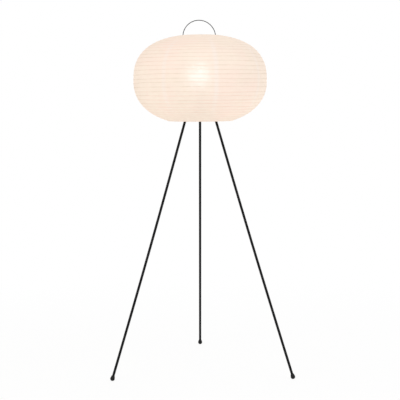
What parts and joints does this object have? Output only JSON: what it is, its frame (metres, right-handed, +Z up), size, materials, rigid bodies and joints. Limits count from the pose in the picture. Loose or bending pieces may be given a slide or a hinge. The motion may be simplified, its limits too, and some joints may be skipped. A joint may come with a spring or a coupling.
{
  "type": "paper lantern floor lamp",
  "caption": "Floor lamp with a wide ribbed paper lantern shade under a wire carrying handle, on a slender black tripod with ball feet.",
  "frame": {"origin": "on the lamp's axis at the floor, midway between the three feet", "axes": "+Z up along the lamp's axis, -Y to the front, so the single leg is at +Y and the handle's arch lies in the XZ plane"},
  "size_m": [0.723, 0.682, 1.4039],
  "materials": {
    "washi_paper": "uncoated, lit from inside",
    "bamboo": "split bamboo",
    "black_wire": "satin black",
    "black_paint": "satin black",
    "black_rubber": "smooth",
    "zinc_steel": "zinc plated",
    "black_plastic": "moulded",
    "ceramic": "unglazed",
    "brass": "bright",
    "opal_glass": "opal",
    "nickel": "nickel plated",
    "solder": "tinned",
    "black_glass": "black glass bead",
    "clear_glass": "clear",
    "tungsten": "wire"
  },
  "bodies": {
    "lamp": {"cord_bush": "black_plastic", "cord_nipple": "zinc_steel", "foot_back": "black_rubber", "foot_front_left": "black_rubber", "foot_front_right": "black_rubber", "holder_base": "black_plastic", "holder_centre_contact": "brass", "holder_insulator": "ceramic", "holder_shell": "black_plastic", "holder_sleeve": "brass", "hub_plate": "black_paint", "leg_back": "black_paint", "leg_bushes": "black_paint", "leg_front_left": "black_paint", "leg_front_right": "black_paint", "leg_studs": "zinc_steel", "nipple_nut": "zinc_steel", "nipple_washer": "zinc_steel", "paper_skin": "washi_paper", "shade_top_ring": "black_wire", "stretcher_nuts": "zinc_steel", "stretcher_wire": "black_wire"},
    "bulb": {"bulb_bead": "black_glass", "bulb_cap": "nickel", "bulb_filament": "tungsten", "bulb_glass": "opal_glass", "bulb_stem": "clear_glass", "bulb_tip": "solder"},
    "lower_ring": {"shade_bottom_ring": "black_wire"},
    "rib_01": {"bamboo_rib_01": "bamboo"},
    "rib_02": {"bamboo_rib_02": "bamboo"},
    "rib_03": {"bamboo_rib_03": "bamboo"},
    "rib_04": {"bamboo_rib_04": "bamboo"},
    "rib_05": {"bamboo_rib_05": "bamboo"},
    "rib_06": {"bamboo_rib_06": "bamboo"},
    "rib_07": {"bamboo_rib_07": "bamboo"},
    "rib_08": {"bamboo_rib_08": "bamboo"},
    "rib_09": {"bamboo_rib_09": "bamboo"},
    "rib_10": {"bamboo_rib_10": "bamboo"},
    "rib_11": {"bamboo_rib_11": "bamboo"},
    "rib_12": {"bamboo_rib_12": "bamboo"},
    "rib_13": {"bamboo_rib_13": "bamboo"},
    "rib_14": {"bamboo_rib_14": "bamboo"},
    "rib_15": {"bamboo_rib_15": "bamboo"},
    "rib_16": {"bamboo_rib_16": "bamboo"},
    "rib_17": {"bamboo_rib_17": "bamboo"},
    "rib_18": {"bamboo_rib_18": "bamboo"},
    "rib_19": {"bamboo_rib_19": "bamboo"},
    "rib_20": {"bamboo_rib_20": "bamboo"},
    "rib_21": {"bamboo_rib_21": "bamboo"},
    "rib_22": {"bamboo_rib_22": "bamboo"},
    "rib_23": {"bamboo_rib_23": "bamboo"},
    "rib_24": {"bamboo_rib_24": "bamboo"},
    "rib_25": {"bamboo_rib_25": "bamboo"},
    "rib_26": {"bamboo_rib_26": "bamboo"},
    "rib_27": {"bamboo_rib_27": "bamboo"},
    "rib_28": {"bamboo_rib_28": "bamboo"},
    "rib_29": {"bamboo_rib_29": "bamboo"},
    "rib_30": {"bamboo_rib_30": "bamboo"}
  },
  "joints": [
    {"name": "bulb_unscrew", "type": "hinge", "parent": "lamp", "child": "bulb", "pos_m": [0, 0, 1.118], "axis": [0, 0, 1], "range_deg": [0, 1080]},
    {"name": "shade_fold", "type": "slide", "parent": "lamp", "child": "lower_ring", "axis": [0, 0, 1], "range_m": [0, 0.2672], "deforming": ["paper_skin"]},
    {"name": "rib_01_rise", "type": "slide", "parent": "lamp", "child": "rib_01", "axis": [0, 0, 1], "range_m": [0, 0.00133]},
    {"name": "rib_02_rise", "type": "slide", "parent": "lamp", "child": "rib_02", "axis": [0, 0, 1], "range_m": [0, 0.00355]},
    {"name": "rib_03_rise", "type": "slide", "parent": "lamp", "child": "rib_03", "axis": [0, 0, 1], "range_m": [0, 0.00641]},
    {"name": "rib_04_rise", "type": "slide", "parent": "lamp", "child": "rib_04", "axis": [0, 0, 1], "range_m": [0, 0.00996]},
    {"name": "rib_05_rise", "type": "slide", "parent": "lamp", "child": "rib_05", "axis": [0, 0, 1], "range_m": [0, 0.01427]},
    {"name": "rib_06_rise", "type": "slide", "parent": "lamp", "child": "rib_06", "axis": [0, 0, 1], "range_m": [0, 0.01941]},
    {"name": "rib_07_rise", "type": "slide", "parent": "lamp", "child": "rib_07", "axis": [0, 0, 1], "range_m": [0, 0.02553]},
    {"name": "rib_08_rise", "type": "slide", "parent": "lamp", "child": "rib_08", "axis": [0, 0, 1], "range_m": [0, 0.03256]},
    {"name": "rib_09_rise", "type": "slide", "parent": "lamp", "child": "rib_09", "axis": [0, 0, 1], "range_m": [0, 0.04074]},
    {"name": "rib_10_rise", "type": "slide", "parent": "lamp", "child": "rib_10", "axis": [0, 0, 1], "range_m": [0, 0.04998]},
    {"name": "rib_11_rise", "type": "slide", "parent": "lamp", "child": "rib_11", "axis": [0, 0, 1], "range_m": [0, 0.06026]},
    {"name": "rib_12_rise", "type": "slide", "parent": "lamp", "child": "rib_12", "axis": [0, 0, 1], "range_m": [0, 0.07145]},
    {"name": "rib_13_rise", "type": "slide", "parent": "lamp", "child": "rib_13", "axis": [0, 0, 1], "range_m": [0, 0.0835]},
    {"name": "rib_14_rise", "type": "slide", "parent": "lamp", "child": "rib_14", "axis": [0, 0, 1], "range_m": [0, 0.09615]},
    {"name": "rib_15_rise", "type": "slide", "parent": "lamp", "child": "rib_15", "axis": [0, 0, 1], "range_m": [0, 0.10927]},
    {"name": "rib_16_rise", "type": "slide", "parent": "lamp", "child": "rib_16", "axis": [0, 0, 1], "range_m": [0, 0.12261]},
    {"name": "rib_17_rise", "type": "slide", "parent": "lamp", "child": "rib_17", "axis": [0, 0, 1], "range_m": [0, 0.13593]},
    {"name": "rib_18_rise", "type": "slide", "parent": "lamp", "child": "rib_18", "axis": [0, 0, 1], "range_m": [0, 0.14937]},
    {"name": "rib_19_rise", "type": "slide", "parent": "lamp", "child": "rib_19", "axis": [0, 0, 1], "range_m": [0, 0.16256]},
    {"name": "rib_20_rise", "type": "slide", "parent": "lamp", "child": "rib_20", "axis": [0, 0, 1], "range_m": [0, 0.17568]},
    {"name": "rib_21_rise", "type": "slide", "parent": "lamp", "child": "rib_21", "axis": [0, 0, 1], "range_m": [0, 0.18829]},
    {"name": "rib_22_rise", "type": "slide", "parent": "lamp", "child": "rib_22", "axis": [0, 0, 1], "range_m": [0, 0.20027]},
    {"name": "rib_23_rise", "type": "slide", "parent": "lamp", "child": "rib_23", "axis": [0, 0, 1], "range_m": [0, 0.21153]},
    {"name": "rib_24_rise", "type": "slide", "parent": "lamp", "child": "rib_24", "axis": [0, 0, 1], "range_m": [0, 0.22178]},
    {"name": "rib_25_rise", "type": "slide", "parent": "lamp", "child": "rib_25", "axis": [0, 0, 1], "range_m": [0, 0.23116]},
    {"name": "rib_26_rise", "type": "slide", "parent": "lamp", "child": "rib_26", "axis": [0, 0, 1], "range_m": [0, 0.23952]},
    {"name": "rib_27_rise", "type": "slide", "parent": "lamp", "child": "rib_27", "axis": [0, 0, 1], "range_m": [0, 0.24697]},
    {"name": "rib_28_rise", "type": "slide", "parent": "lamp", "child": "rib_28", "axis": [0, 0, 1], "range_m": [0, 0.25355]},
    {"name": "rib_29_rise", "type": "slide", "parent": "lamp", "child": "rib_29", "axis": [0, 0, 1], "range_m": [0, 0.25924]},
    {"name": "rib_30_rise", "type": "slide", "parent": "lamp", "child": "rib_30", "axis": [0, 0, 1], "range_m": [0, 0.26415]}
  ],
  "couplings": [
    {"joint": "rib_01_rise", "follows": "shade_fold", "ratio": 0.00349},
    {"joint": "rib_02_rise", "follows": "shade_fold", "ratio": 0.01178},
    {"joint": "rib_03_rise", "follows": "shade_fold", "ratio": 0.02249},
    {"joint": "rib_04_rise", "follows": "shade_fold", "ratio": 0.03578},
    {"joint": "rib_05_rise", "follows": "shade_fold", "ratio": 0.05191},
    {"joint": "rib_06_rise", "follows": "shade_fold", "ratio": 0.07116},
    {"joint": "rib_07_rise", "follows": "shade_fold", "ratio": 0.09404},
    {"joint": "rib_08_rise", "follows": "shade_fold", "ratio": 0.12037},
    {"joint": "rib_09_rise", "follows": "shade_fold", "ratio": 0.15096},
    {"joint": "rib_10_rise", "follows": "shade_fold", "ratio": 0.18554},
    {"joint": "rib_11_rise", "follows": "shade_fold", "ratio": 0.22403},
    {"joint": "rib_12_rise", "follows": "shade_fold", "ratio": 0.26591},
    {"joint": "rib_13_rise", "follows": "shade_fold", "ratio": 0.311},
    {"joint": "rib_14_rise", "follows": "shade_fold", "ratio": 0.35833},
    {"joint": "rib_15_rise", "follows": "shade_fold", "ratio": 0.40745},
    {"joint": "rib_16_rise", "follows": "shade_fold", "ratio": 0.45739},
    {"joint": "rib_17_rise", "follows": "shade_fold", "ratio": 0.50722},
    {"joint": "rib_18_rise", "follows": "shade_fold", "ratio": 0.55752},
    {"joint": "rib_19_rise", "follows": "shade_fold", "ratio": 0.60689},
    {"joint": "rib_20_rise", "follows": "shade_fold", "ratio": 0.65599},
    {"joint": "rib_21_rise", "follows": "shade_fold", "ratio": 0.70319},
    {"joint": "rib_22_rise", "follows": "shade_fold", "ratio": 0.74801},
    {"joint": "rib_23_rise", "follows": "shade_fold", "ratio": 0.79014},
    {"joint": "rib_24_rise", "follows": "shade_fold", "ratio": 0.82852},
    {"joint": "rib_25_rise", "follows": "shade_fold", "ratio": 0.86363},
    {"joint": "rib_26_rise", "follows": "shade_fold", "ratio": 0.8949},
    {"joint": "rib_27_rise", "follows": "shade_fold", "ratio": 0.92278},
    {"joint": "rib_28_rise", "follows": "shade_fold", "ratio": 0.94742},
    {"joint": "rib_29_rise", "follows": "shade_fold", "ratio": 0.96871},
    {"joint": "rib_30_rise", "follows": "shade_fold", "ratio": 0.98709}
  ]
}
